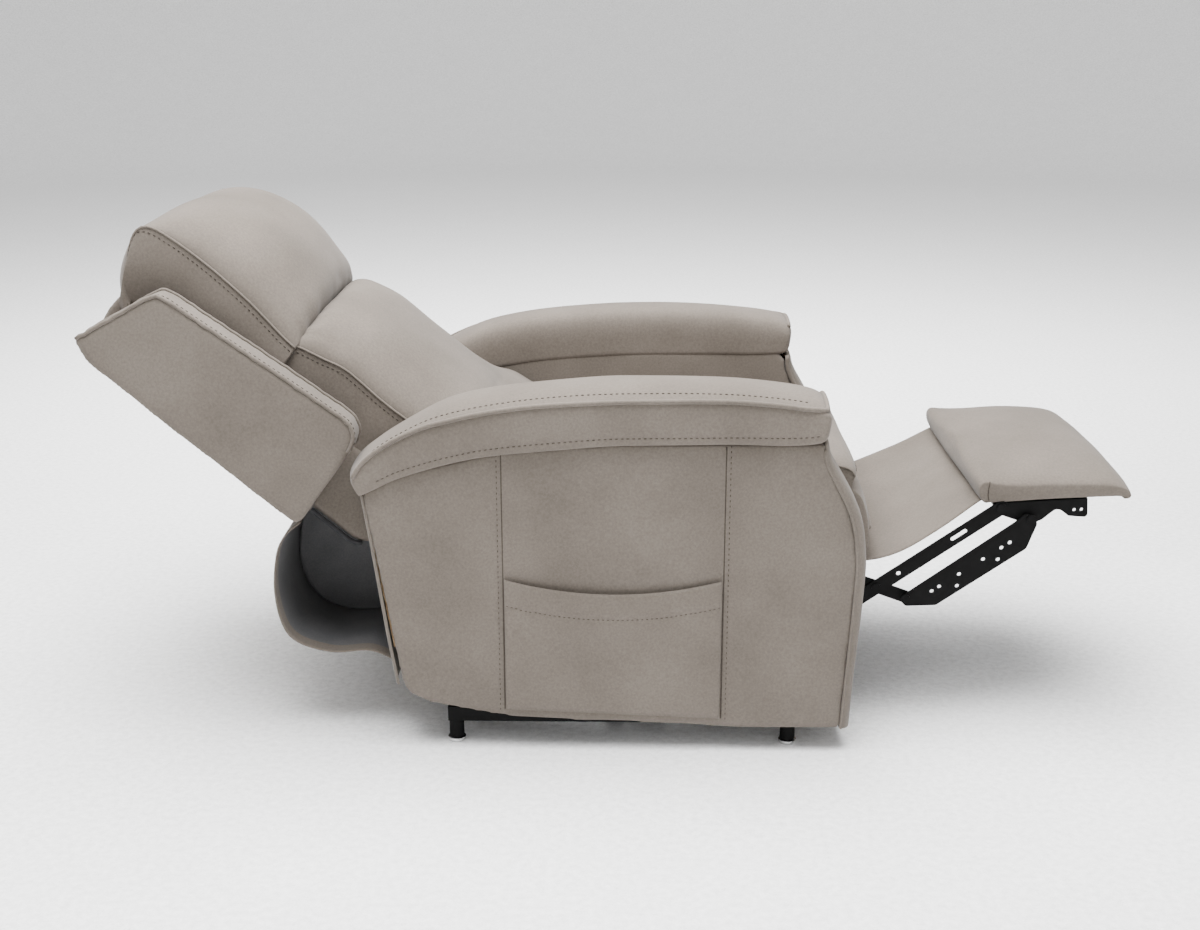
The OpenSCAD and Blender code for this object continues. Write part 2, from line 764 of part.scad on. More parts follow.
base_rail(1);  // base_rail_left
base_rail(-1);  // base_rail_right
base_cross_tubes();
levelling_glides();
base_pivot_bolts();
control_box();
power_inlet();
lift_arm(1);  // lift_arm_left
lift_arm(-1);  // lift_arm_right
lift_torque_tube();
guide_links();
lift_actuator_body();
lift_actuator_rod();
chassis_rail(1);  // chassis_rail_left
chassis_rail(-1);  // chassis_rail_right
chassis_cross_tubes();
mechanism_plate(1);  // mechanism_plate_left
mechanism_plate(-1);  // mechanism_plate_right
chassis_pins();
seat_box();
seat_springs();
seat_cushion();
rear_tack_rail();
arm_frame(1);  // arm_frame_left
arm_frame(-1);  // arm_frame_right
arm_inner_panel(1);  // arm_inner_panel_left
arm_inner_panel(-1);  // arm_inner_panel_right
arm_side_panel(1);  // arm_side_panel_left
arm_side_panel(-1);  // arm_side_panel_right
arm_front_panel(1);  // arm_front_panel_left
arm_front_panel(-1);  // arm_front_panel_right
arm_cap(1);  // arm_cap_left
arm_cap(-1);  // arm_cap_right
side_pocket(1);  // side_pocket_left
side_pocket(-1);  // side_pocket_right
leg_flap();
rear_cover();
back_frame();
back_hinge_plates();
back_torque_tube();
outside_back_panel();
back_wing(1);  // back_wing_left
back_wing(-1);  // back_wing_right
head_cushion();
lumbar_cushion();
back_actuator_body();
back_actuator_rod();
footrest_actuator_body();
footrest_actuator_rod();
front_arm(1);  // front_arm_left
front_arm(-1);  // front_arm_right
footrest_torque_tube();
front_arm_rivets();
control_links();
upper_link(1);  // upper_link_left
upper_link(-1);  // upper_link_right
lower_links();
footrest_brackets();
footrest_board();
footrest_pad();
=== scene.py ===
import json
import math

import bmesh
import bpy
import numpy as np
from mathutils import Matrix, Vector, noise
from mathutils.bvhtree import BVHTree

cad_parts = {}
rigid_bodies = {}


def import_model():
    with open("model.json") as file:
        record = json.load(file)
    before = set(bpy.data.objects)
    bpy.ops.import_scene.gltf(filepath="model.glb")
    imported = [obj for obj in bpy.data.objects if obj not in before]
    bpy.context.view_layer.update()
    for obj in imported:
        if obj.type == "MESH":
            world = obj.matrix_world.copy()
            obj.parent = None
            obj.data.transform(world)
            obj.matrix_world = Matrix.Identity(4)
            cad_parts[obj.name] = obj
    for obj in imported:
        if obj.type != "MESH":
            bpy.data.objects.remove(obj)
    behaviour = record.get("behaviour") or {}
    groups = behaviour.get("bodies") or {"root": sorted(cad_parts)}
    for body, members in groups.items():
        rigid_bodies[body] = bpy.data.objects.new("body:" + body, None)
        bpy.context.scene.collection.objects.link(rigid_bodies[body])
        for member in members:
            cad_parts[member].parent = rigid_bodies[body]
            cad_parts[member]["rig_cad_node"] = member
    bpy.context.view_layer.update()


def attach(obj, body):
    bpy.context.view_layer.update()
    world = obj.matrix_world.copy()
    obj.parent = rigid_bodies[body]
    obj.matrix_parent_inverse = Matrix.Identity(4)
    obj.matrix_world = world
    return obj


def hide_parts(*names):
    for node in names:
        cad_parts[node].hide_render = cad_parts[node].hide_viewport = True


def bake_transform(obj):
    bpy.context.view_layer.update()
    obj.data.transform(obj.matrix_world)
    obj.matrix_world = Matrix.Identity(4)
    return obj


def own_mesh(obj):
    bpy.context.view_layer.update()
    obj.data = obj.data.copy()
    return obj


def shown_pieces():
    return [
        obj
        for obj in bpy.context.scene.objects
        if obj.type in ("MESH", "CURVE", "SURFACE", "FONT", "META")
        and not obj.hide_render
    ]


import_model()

# Lengths below are in millimetres in the CAD frame: +X the way the sitter faces,
# +Y the sitter's left, +Z up. Meshes are scaled to metres when they are made.
MM = 0.001
SIDES = {"left": 1, "right": -1}

BACK_PIVOT = (-181, 330)
BACK_SLOPE = math.radians(35.3)
PAD_INNER = (622, 393)
PAD_SLOPE = math.radians(3.6)
SEAM_FRONT, SEAM_REAR = 187, -172  # upright seams of the side panels
ARM_INNER, ARM_SIDE, ARM_LIP = 263, 382, 400
HEAD_SEAM_Y, LUMBAR_SEAM_Y, SEAT_SEAM_Y, PAD_SEAM_Y = 262, 254, 258, 253
CROWN_STEPS, BOXING_STEPS, BASE_STEPS = 41, 10, 16  # points round one ring of a cushion
CLOTH_FRAMES = 20


# ---- Materials ---------------------------------------------------------------


def new_material(name):
    material = bpy.data.materials.new(name)
    material.use_nodes = True
    tree = material.node_tree
    shader = tree.nodes["Principled BSDF"]
    coords = tree.nodes.new("ShaderNodeTexCoord")
    return material, tree, shader, coords.outputs["Object"]


def noise_node(tree, coords, scale, detail=4.0, stretch=None):
    texture = tree.nodes.new("ShaderNodeTexNoise")
    texture.inputs["Scale"].default_value = scale
    texture.inputs["Detail"].default_value = detail
    if stretch:
        mapping = tree.nodes.new("ShaderNodeMapping")
        mapping.inputs["Scale"].default_value = stretch
        tree.links.new(coords, mapping.inputs["Vector"])
        coords = mapping.outputs["Vector"]
    tree.links.new(coords, texture.inputs["Vector"])
    return texture.outputs["Fac"]


def colour_ramp(tree, factor, low, high, start=0.3, end=0.7):
    ramp = tree.nodes.new("ShaderNodeValToRGB")
    ramp.color_ramp.elements[0].position = start
    ramp.color_ramp.elements[0].color = (*low, 1)
    ramp.color_ramp.elements[1].position = end
    ramp.color_ramp.elements[1].color = (*high, 1)
    tree.links.new(factor, ramp.inputs["Fac"])
    return ramp.outputs["Color"]


def bump(tree, shader, height, strength, distance):
    node = tree.nodes.new("ShaderNodeBump")
    node.inputs["Strength"].default_value = strength
    node.inputs["Distance"].default_value = distance
    tree.links.new(height, node.inputs["Height"])
    tree.links.new(node.outputs["Normal"], shader.inputs["Normal"])


def cloth_material(name, dark, light, sheen, grain=900, grain_depth=0.0004):
    """Napped fabric: soft patches where the nap lies differently, and a fine grain."""
    material, tree, shader, coords = new_material(name)
    patches = noise_node(tree, coords, 7, 6)
    grains = noise_node(tree, coords, grain, 2)
    patch_colour = colour_ramp(tree, patches, dark, light)
    naps = noise_node(tree, coords, 0.28 * grain, 3)
    both = tree.nodes.new("ShaderNodeMath")
    both.operation = "MULTIPLY_ADD"
    both.inputs[1].default_value = 0.6
    tree.links.new(naps, both.inputs[0])
    halved = tree.nodes.new("ShaderNodeMath")
    halved.operation = "MULTIPLY"
    halved.inputs[1].default_value = 0.4
    tree.links.new(grains, halved.inputs[0])
    tree.links.new(halved.outputs["Value"], both.inputs[2])
    weave = both.outputs["Value"]
    grain_colour = colour_ramp(tree, weave, (0.84, 0.84, 0.84), (1.14, 1.14, 1.14), 0.32, 0.68)
    mix = tree.nodes.new("ShaderNodeMix")
    mix.data_type = "RGBA"
    mix.blend_type = "MULTIPLY"
    mix.inputs["Factor"].default_value = 1.0
    tree.links.new(patch_colour, mix.inputs["A"])
    tree.links.new(grain_colour, mix.inputs["B"])
    tree.links.new(mix.outputs["Result"], shader.inputs["Base Color"])
    shader.inputs["Roughness"].default_value = 0.95
    shader.inputs["Specular IOR Level"].default_value = 0.15
    shader.inputs["Sheen Weight"].default_value = sheen
    shader.inputs["Sheen Roughness"].default_value = 0.45
    bump(tree, shader, weave, 0.4, grain_depth)
    return material


def metal_material(name, dark, light, metallic, rough_low, rough_high):
    """Bare metal, or a dull painted or moulded surface when metallic is 0."""
    material, tree, shader, coords = new_material(name)
    wear = noise_node(tree, coords, 60, 5)
    tree.links.new(colour_ramp(tree, wear, dark, light), shader.inputs["Base Color"])
    rough = tree.nodes.new("ShaderNodeMapRange")
    rough.inputs["To Min"].default_value = rough_low
    rough.inputs["To Max"].default_value = rough_high
    tree.links.new(wear, rough.inputs["Value"])
    tree.links.new(rough.outputs["Result"], shader.inputs["Roughness"])
    shader.inputs["Metallic"].default_value = metallic
    shader.inputs["Specular IOR Level"].default_value = 0.07 if metallic == 0 else 0.5
    bump(tree, shader, noise_node(tree, coords, 700, 2), 0.12, 0.0003)
    return material


def wood_material(name):
    material, tree, shader, coords = new_material(name)
    grain = noise_node(tree, coords, 14, 8, stretch=(1.0, 1.0, 9.0))
    colour = colour_ramp(tree, grain, (0.34, 0.2, 0.1), (0.58, 0.4, 0.23))
    tree.links.new(colour, shader.inputs["Base Color"])
    shader.inputs["Roughness"].default_value = 0.7
    bump(tree, shader, grain, 0.2, 0.0006)
    return material


suede = cloth_material("suede", (0.109, 0.093, 0.078), (0.14, 0.12, 0.102), 0.1)
# dark thread colour for the stitches; the same colour paints shade into seam grooves and creases as thin
# sunk cords
thread_and_seam_shade = cloth_material("thread_and_seam_shade", (0.045, 0.038, 0.032), (0.065, 0.055, 0.046), 0.0)
lining = cloth_material("lining", (0.075, 0.075, 0.078), (0.12, 0.12, 0.124), 0.05, grain=1500)
black_steel = metal_material("black_steel", (0.002, 0.002, 0.002), (0.004, 0.004, 0.004), 0.0, 0.45, 0.65)
bright_steel = metal_material("bright_steel", (0.5, 0.5, 0.5), (0.72, 0.72, 0.72), 1.0, 0.18, 0.35)
spring_steel = metal_material("spring_steel", (0.22, 0.22, 0.23), (0.4, 0.4, 0.41), 1.0, 0.3, 0.5)
black_plastic = metal_material("black_plastic", (0.02, 0.02, 0.021), (0.035, 0.035, 0.037), 0.0, 0.45, 0.6)
plywood = wood_material("plywood")
studio_floor = cloth_material("studio_floor", (0.9, 0.9, 0.9), (0.92, 0.92, 0.92), 0.0, 300, 0.0001)


# ---- Curves and coordinates --------------------------------------------------


def back_point(p, q):
    """A place on the back: p up the back from its pivot, q towards the sitter."""
    c, s = math.cos(BACK_SLOPE), math.sin(BACK_SLOPE)
    return np.array([BACK_PIVOT[0] - p * c + q * s, BACK_PIVOT[1] + p * s + q * c])


def pad_point(u, w):
    """A place on the footrest pad: u outwards from its inner edge, w up."""
    c, s = math.cos(PAD_SLOPE), math.sin(PAD_SLOPE)
    return np.array([PAD_INNER[0] + u * c - w * s, PAD_INNER[1] + u * s + w * c])


def spline(points, steps):
    """A smooth curve through control points of any dimension."""
    p = np.asarray(points, float)
    padded = np.vstack([2 * p[0] - p[1], p, 2 * p[-1] - p[-2]])
    out = []
    for i in range(len(p) - 1):
        a, b, c, d = padded[i : i + 4]
        for t in np.arange(steps) / steps:
            square, cube = 2 * a - 5 * b + 4 * c - d, 3 * b - a - 3 * c + d
            out.append(0.5 * (2 * b + (c - a) * t + square * t * t + cube * t**3))
    out.append(p[-1])
    return np.array(out)


def evenly(points, step):
    """Points at an even spacing along a polyline."""
    p = np.asarray(points, float)
    along = np.concatenate([[0], np.cumsum(np.linalg.norm(np.diff(p, axis=0), axis=1))])
    count = max(2, round(along[-1] / step) + 1)
    places = np.linspace(0, along[-1], count)
    return np.column_stack([np.interp(places, along, p[:, k]) for k in range(p.shape[1])])


def with_y(points, y):
    """[x, z] points placed in the plane at y."""
    p = np.asarray(points, float)
    return np.column_stack([p[:, 0], np.full(len(p), float(y)), p[:, 1]])


def rounded(outline, radius, steps=5):
    """A closed [x, z] outline with its corners cut by arcs, of one radius or one for each."""
    p = np.asarray(outline, float)
    radii = np.broadcast_to(radius, len(p))
    out = []
    for i in range(len(p)):
        before, here, after = p[i - 1], p[i], p[(i + 1) % len(p)]
        a, b = before - here, after - here
        reach = min(radii[i], 0.45 * np.linalg.norm(a), 0.45 * np.linalg.norm(b))
        start = here + a / np.linalg.norm(a) * reach
        end = here + b / np.linalg.norm(b) * reach
        for t in np.linspace(0, 1, steps):
            out.append((1 - t) ** 2 * start + 2 * t * (1 - t) * here + t * t * end)
    return np.array(out)


# ---- Meshes ------------------------------------------------------------------


def new_piece(name, vertices, faces, material):
    mesh = bpy.data.meshes.new(name)
    mesh.from_pydata((np.asarray(vertices, float) * MM).tolist(), [], faces)
    mesh.materials.append(material)
    piece = bpy.data.objects.new(name, mesh)
    bpy.context.scene.collection.objects.link(piece)
    face_outwards(piece)
    mesh.shade_smooth()
    return piece


def face_outwards(piece):
    work = bmesh.new()
    work.from_mesh(piece.data)
    bmesh.ops.recalc_face_normals(work, faces=work.faces)
    work.to_mesh(piece.data)
    work.free()


def coordinates(piece):
    flat = np.empty(3 * len(piece.data.vertices))
    piece.data.vertices.foreach_get("co", flat)
    return flat.reshape(-1, 3) / MM


def place(piece, points):
    piece.data.vertices.foreach_set("co", (np.asarray(points) * MM).ravel())
    piece.data.update()


def apply_modifiers(piece):
    material = piece.data.materials[0]
    graph = bpy.context.evaluated_depsgraph_get()
    mesh = bpy.data.meshes.new_from_object(piece.evaluated_get(graph))
    piece.modifiers.clear()
    piece.data = mesh
    if not len(mesh.materials):
        mesh.materials.append(material)
    mesh.shade_smooth()


def remesh(piece, voxel, smooth=6):
    """Rebuilds a closed piece as even quads and rounds its edges a little."""
    grid = piece.modifiers.new("grid", "REMESH")
    grid.mode = "VOXEL"
    grid.voxel_size = voxel * MM
    soften = piece.modifiers.new("soften", "SMOOTH")
    soften.factor = 0.5
    soften.iterations = smooth
    apply_modifiers(piece)


def subdivide(piece):
    piece.modifiers.new("fine", "SUBSURF").render_levels = 1
    piece.modifiers["fine"].levels = 1
    apply_modifiers(piece)


def loft(name, rings, material):
    """A closed skin over rings of points, closed at both ends."""
    rings = np.asarray(rings, float)
    count, around = rings.shape[:2]
    vertices = [*rings.reshape(-1, 3), rings[0].mean(axis=0), rings[-1].mean(axis=0)]
    first, last = len(vertices) - 2, len(vertices) - 1
    faces = []
    for j in range(around):
        k = (j + 1) % around
        for i in range(count - 1):
            faces.append((i * around + j, i * around + k, (i + 1) * around + k, (i + 1) * around + j))
        faces.append((first, k, j))
        faces.append((last, (count - 1) * around + j, (count - 1) * around + k))
    return new_piece(name, vertices, faces, material)


def slab(name, outline, y0, y1, material):
    """An [x, z] outline given width from y0 to y1."""
    count = len(outline)
    vertices = [*with_y(outline, y0), *with_y(outline, y1)]
    faces = [tuple(range(count)), tuple(range(2 * count - 1, count - 1, -1))]
    for i in range(count):
        k = (i + 1) % count
        faces.append((i, k, count + k, count + i))
    return new_piece(name, vertices, faces, material)


def grid_sheet(name, points, thickness, material, inner_material=None, hem=0):
    """A sheet of cloth over a grid of points, with a real thickness and a hem of columns."""
    points = np.asarray(points, float)
    rows, columns = points.shape[:2]
    across = np.gradient(points, axis=1)
    along = np.gradient(points, axis=0)
    normals = np.cross(along, across)
    normals /= np.linalg.norm(normals, axis=2, keepdims=True)
    back = points + thickness * normals
    vertices = [*points.reshape(-1, 3), *back.reshape(-1, 3)]
    total = rows * columns
    faces, inside = [], []
    for i in range(rows - 1):
        for j in range(columns - 1):
            quad = (i * columns + j, i * columns + j + 1, (i + 1) * columns + j + 1, (i + 1) * columns + j)
            faces.append(quad)
            inside.append(0)
            faces.append(tuple(total + v for v in reversed(quad)))
            edge = j < hem or j >= columns - 1 - hem
            inside.append(0 if edge else 1)
    rim = list(range(columns))
    rim += [i * columns + columns - 1 for i in range(1, rows)]
    rim += [(rows - 1) * columns + j for j in range(columns - 2, -1, -1)]
    rim += [i * columns for i in range(rows - 2, 0, -1)]
    for i, a in enumerate(rim):
        b = rim[(i + 1) % len(rim)]
        faces.append((a, total + a, total + b, b))
        inside.append(0)
    piece = new_piece(name, vertices, faces, material)
    if inner_material:
        piece.data.materials.append(inner_material)
        piece.data.polygons.foreach_set("material_index", inside)
    return piece


def tube(name, path, radius, material, sides=8):
    """A cord of fabric or thread, or a thin dark cord of painted shade in a seam groove, swept along a
    path, closed at both ends.
    """
    path = np.asarray(path, float)
    tangents = np.gradient(path, axis=0)
    tangents /= np.linalg.norm(tangents, axis=1, keepdims=True)
    side = np.cross(tangents[0], (0.3, 1.0, 0.2))
    side /= np.linalg.norm(side)
    rings = []
    for point, tangent in zip(path, tangents):
        side = side - tangent * (side @ tangent)
        side /= np.linalg.norm(side)
        up = np.cross(tangent, side)
        turns = np.arange(sides) * 2 * math.pi / sides
        rings.append([point + radius * (math.cos(a) * side + math.sin(a) * up) for a in turns])
    return loft(name, rings, material)


def surface_of(piece):
    points = coordinates(piece)
    faces = [tuple(face.vertices) for face in piece.data.polygons]
    return BVHTree.FromPolygons([Vector(v) for v in points], faces)


def laid_on(surface, path, lift=0.0):
    """Moves a path onto a piece's surface, lifted off it along its normal."""
    out = []
    for point in path:
        place_, normal, _, _ = surface.find_nearest(Vector(point))
        out.append(np.array(place_ + lift * normal))
    return np.array(out)


def stitches(name, surface, paths, material, pitch=9.0, length=5.0, radius=0.9):
    """Short raised stitches at an even pitch along paths on a surface."""
    vertices, faces = [], []
    for path in paths:
        centres = laid_on(surface, evenly(path, pitch), 0.3)
        tangents = np.gradient(centres, axis=0)
        tangents /= np.linalg.norm(tangents, axis=1, keepdims=True)
        for centre, tangent in zip(centres, tangents):
            side = np.cross(tangent, (0.31, 0.87, 0.38))
            side /= np.linalg.norm(side)
            up = np.cross(tangent, side)
            start = len(vertices)
            vertices.append(centre - 0.5 * length * tangent)
            for offset in (-0.3, 0.3):
                for a in np.arange(6) * math.pi / 3:
                    spoke = math.cos(a) * side + math.sin(a) * up
                    vertices.append(centre + offset * length * tangent + radius * spoke)
            vertices.append(centre + 0.5 * length * tangent)
            for k in range(6):
                n = (k + 1) % 6
                faces.append((start, start + 1 + n, start + 1 + k))
                faces.append((start + 1 + k, start + 1 + n, start + 7 + n, start + 7 + k))
                faces.append((start + 13, start + 7 + k, start + 7 + n))
    return new_piece(name, vertices, faces, material)


# ---- Softness ----------------------------------------------------------------


def swell(piece, free, pressure, cap):
    """Blows the free vertices up as cloth and caps how far each of them may move."""
    scene = bpy.context.scene
    before = coordinates(piece)
    held = piece.vertex_groups.new(name="held")
    for index, share in enumerate(free):
        held.add([index], 1.0 - float(share), "REPLACE")
    cloth = piece.modifiers.new("cloth", "CLOTH")
    settings = cloth.settings
    settings.quality = 6
    settings.mass = 0.3
    settings.tension_stiffness = 12
    settings.compression_stiffness = 12
    settings.shear_stiffness = 4
    settings.bending_stiffness = 0.4
    settings.use_pressure = True
    settings.uniform_pressure_force = pressure
    settings.vertex_group_mass = "held"
    settings.effector_weights.gravity = 0
    scene.frame_start, scene.frame_end = 1, CLOTH_FRAMES
    cloth.point_cache.frame_start, cloth.point_cache.frame_end = 1, CLOTH_FRAMES
    for step in range(1, CLOTH_FRAMES + 1):
        scene.frame_set(step)
    graph = bpy.context.evaluated_depsgraph_get()
    blown = piece.evaluated_get(graph).to_mesh()
    after = np.empty(3 * len(blown.vertices))
    blown.vertices.foreach_get("co", after)
    moved = after.reshape(-1, 3) / MM - before
    piece.evaluated_get(graph).to_mesh_clear()
    piece.modifiers.remove(cloth)
    scene.frame_set(1)
    size = np.linalg.norm(moved, axis=1, keepdims=True)
    moved *= np.minimum(1.0, cap / np.maximum(size, 1e-6))
    place(piece, before + moved)


def ripple(piece, size, depth):
    """Long, shallow unevenness along the surface normals, as stuffed cloth has."""
    points = coordinates(piece)
    normals = np.array([v.normal for v in piece.data.vertices])
    heights = np.array([noise.noise(Vector(p / size)) for p in points])
    place(piece, points + depth * heights[:, None] * normals)


def pucker(piece, seam, depth, wave, reach):
    """Small gathers that run away from a seam and fade within a short reach."""
    seam = np.asarray(seam, float)
    along = np.concatenate([[0], np.cumsum(np.linalg.norm(np.diff(seam, axis=0), axis=1))])
    points = coordinates(piece)
    normals = np.array([v.normal for v in piece.data.vertices])
    lift = np.zeros(len(points))
    for start in range(0, len(points), 2000):
        part = points[start : start + 2000]
        gaps = np.linalg.norm(part[:, None] - seam[None], axis=2)
        nearest = gaps.argmin(axis=1)
        fade = np.exp(-((gaps.min(axis=1) / reach) ** 2))
        phase = along[nearest] / wave
        wobble = np.sin(2 * math.pi * phase + 2.5 * np.sin(1.7 * phase))
        lift[start : start + 2000] = depth * fade * wobble
    place(piece, points + lift[:, None] * normals)


def finish_soft(piece, body, slot, *nodes, fill):
    """Hands a finished padded piece to its CAD body, in place of the nodes if any."""
    if nodes:
        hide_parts(*nodes)
    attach(piece, body)


def trim(piece, body):
    """Hands a seam, a cord of piping or a row of stitches to its CAD body."""
    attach(piece, body)


def cushion_rings(stations, point, seam_y, base_y, side_swell, crown_power=2.5):
    """Rings over a boxed cushion. A station has its crown, its side seam and its base,
    each as two coordinates that point() turns into [x, z]."""
    rings = []
    angles = np.linspace(-math.pi / 2, math.pi / 2, CROWN_STEPS)
    shares = np.linspace(0, 1, BOXING_STEPS)
    for row in stations:
        crown, seam, base = point(*row[0:2]), point(*row[2:4]), point(*row[4:6])
        ring = []
        for angle in angles:
            s = math.sin(angle)
            share = max(0.0, 1 - abs(s) ** crown_power) ** 0.6
            x, z = seam + (crown - seam) * share
            ring.append((x, seam_y * s, z))
        for t in shares[1:]:
            x, z = seam + (base - seam) * t
            ring.append((x, seam_y + (base_y - seam_y) * t + side_swell * math.sin(math.pi * t), z))
        for t in np.linspace(0, 1, BASE_STEPS)[1:-1]:
            x, z = base
            ring.append((x, base_y * (1 - 2 * t), z))
        for t in shares[:0:-1]:
            x, z = seam + (base - seam) * t
            y = -seam_y - (base_y - seam_y) * t - side_swell * math.sin(math.pi * t)
            ring.append((x, y, z))
        rings.append(ring)
    return np.array(rings)


def crown_freedom(rings):
    """How free each vertex of a boxed cushion is: the crown and the sides swell, the
    seams and the base stay."""
    count, around = rings.shape[:2]
    share = np.zeros(around)
    share[:CROWN_STEPS] = np.sin(np.linspace(0, math.pi, CROWN_STEPS)) ** 0.5
    sides = np.sin(np.linspace(0, math.pi, BOXING_STEPS))[1:] * 0.7
    share[CROWN_STEPS : CROWN_STEPS + len(sides)] = sides
    share[-len(sides) :] = sides[::-1]
    ends = np.minimum(1, np.minimum(np.arange(count), np.arange(count)[::-1]) / 6)
    free = (ends[:, None] * share[None]).ravel()
    return np.concatenate([free, [0, 0]])


# ---- Back cushions -----------------------------------------------------------

# Each row: crown p, q; side seam p, q; base p, q
HEAD_STATIONS = [
    (463, 112, 460, 74, 460, -20),
    (469, 138, 472, 76, 478, -22),
    (486, 160, 490, 79, 495, -22),
    (520, 173, 520, 86, 520, -22),
    (560, 187, 560, 95, 560, -22),
    (600, 194, 604, 102, 600, -22),
    (645, 192, 645, 107, 640, -22),
    (690, 181, 690, 110, 675, -22),
    (728, 159, 726, 110, 700, -24),
    (754, 132, 752, 108, 715, -26),
    (771, 102, 769, 100, 726, -30),
    (782, 70, 774, 84, 734, -34),
    (787, 34, 768, 60, 734, -36),
    (786, 2, 758, 36, 730, -38),
    (777, -26, 746, 14, 724, -42),
    (760, -48, 732, -6, 718, -47),
    (738, -62, 718, -20, 714, -52),
]
LUMBAR_STATIONS = [
    (469, 112, 473, 74, 474, -20),
    (464, 136, 461, 77, 458, -22),
    (446, 154, 444, 80, 440, -22),
    (418, 162, 416, 84, 416, -22),
    (380, 167, 380, 90, 380, -22),
    (345, 165, 345, 87, 345, -22),
    (302, 160, 302, 81, 302, -22),
    (255, 157, 258, 78, 258, -22),
    (210, 154, 210, 80, 210, -22),
    (172, 151, 172, 96, 160, -22),
    (140, 143, 140, 120, 110, -24),
    (112, 139, 112, 134, 76, -24),
    (62, 142, 62, 138, 38, -10),
    (13, 152, 13, 149, 12, 56),
    (-30, 152, -30, 149, -8, 64),
    (-44, 147, -44, 145, -16, 68),
]


def back_cushion(name, node, stations, seam_y, base_y, side_swell, cap):
    """One of the two back cushions. Returns its side seam and its surface."""
    rows = spline(stations, 4)
    rings = cushion_rings(rows, back_point, seam_y, base_y, side_swell)
    piece = loft(name, rings, suede)
    swell(piece, crown_freedom(rings), 4.0, cap)
    x, z = back_point(466, 112)
    crease = [(x, y, z) for y in np.linspace(-seam_y, seam_y, 60)]
    pucker(piece, crease, 1.6, 34, 42)
    ripple(piece, 150, 3.0)
    subdivide(piece)
    finish_soft(piece, "backrest", "suede_fabric", node, fill=0.75)
    seam = spline([back_point(row[2], row[3]) for row in stations], 6)
    return seam, surface_of(piece)


def back_seams(prefix, seam, surface, seam_y):
    """The felled seam between crown and boxing, with its row of stitches."""
    for word, side in SIDES.items():
        line = laid_on(surface, evenly(with_y(seam, side * seam_y), 9), 0.4)
        trim(tube(f"{prefix}_seam_{word}", line, 2.2, suede), "backrest")
        below = with_y(seam, side * (seam_y + 3)) - np.array([5.0, 0, 7.5])
        trim(stitches(f"{prefix}_stitches_{word}", surface, [below], thread_and_seam_shade), "backrest")


head_seam, head_surface = back_cushion(
    "head_cushion_soft", "head_cushion", HEAD_STATIONS, HEAD_SEAM_Y, 260, 9, 12
)
back_seams("head", head_seam, head_surface, HEAD_SEAM_Y)

lumbar_seam, lumbar_surface = back_cushion(
    "lumbar_cushion_soft", "lumbar_cushion", LUMBAR_STATIONS, LUMBAR_SEAM_Y, 254, 3, 6
)
in_sight = lumbar_seam[: 6 * 10]  # the seam down to where the arms hide it
back_seams("lumbar", in_sight, lumbar_surface, LUMBAR_SEAM_Y)


# ---- Wings and the outside of the back ---------------------------------------

WING_OUTLINE = [(751, -88), (683, 53), (317, 53), (295, 27), (296, -144), (716, -108)]
WING_ROUNDING = (3, 20, 16, 14, 16, 14)
WING_EDGE = [
    (749, -84), (720, -26), (698, 22), (683, 45), (662, 53), (500, 54), (340, 53), (318, 49), (303, 33),
    (298, 10),
]
WING_OUTER, WING_INNER = 364, 306
FILLER = [(306, -18), (706, -18), (738, -82), (716, -100), (306, -136)]
LOWER_SIDE = [(310, -8), (70, -8), (64, -60), (196, -150), (306, -140)]
ZIP_LINE = [(190, -146), (204, -154), (304, -145)]
TOP_END = [(690, -14), (744, -14), (749, -60), (744, -92), (716, -100), (690, -90)]
LOWER_OUTSIDE = [(320, -122), (204, -132), (200, -150), (320, -142)]
OUTSIDE = [
    (704, -24), (714, -76), (700, -92), (290, -128), (290, -142), (716, -107), (742, -86), (714, -24),
]
OUTSIDE_HALF = 303


def on_back(places):
    return [back_point(p, q) for p, q in places]


def back_pad(name, places, radius, y0, y1, voxel):
    """A padded slab on the back, with rounded corners and edges."""
    piece = slab(name, rounded(on_back(places), radius), *sorted((y0, y1)), suede)
    remesh(piece, voxel, 4)
    return piece


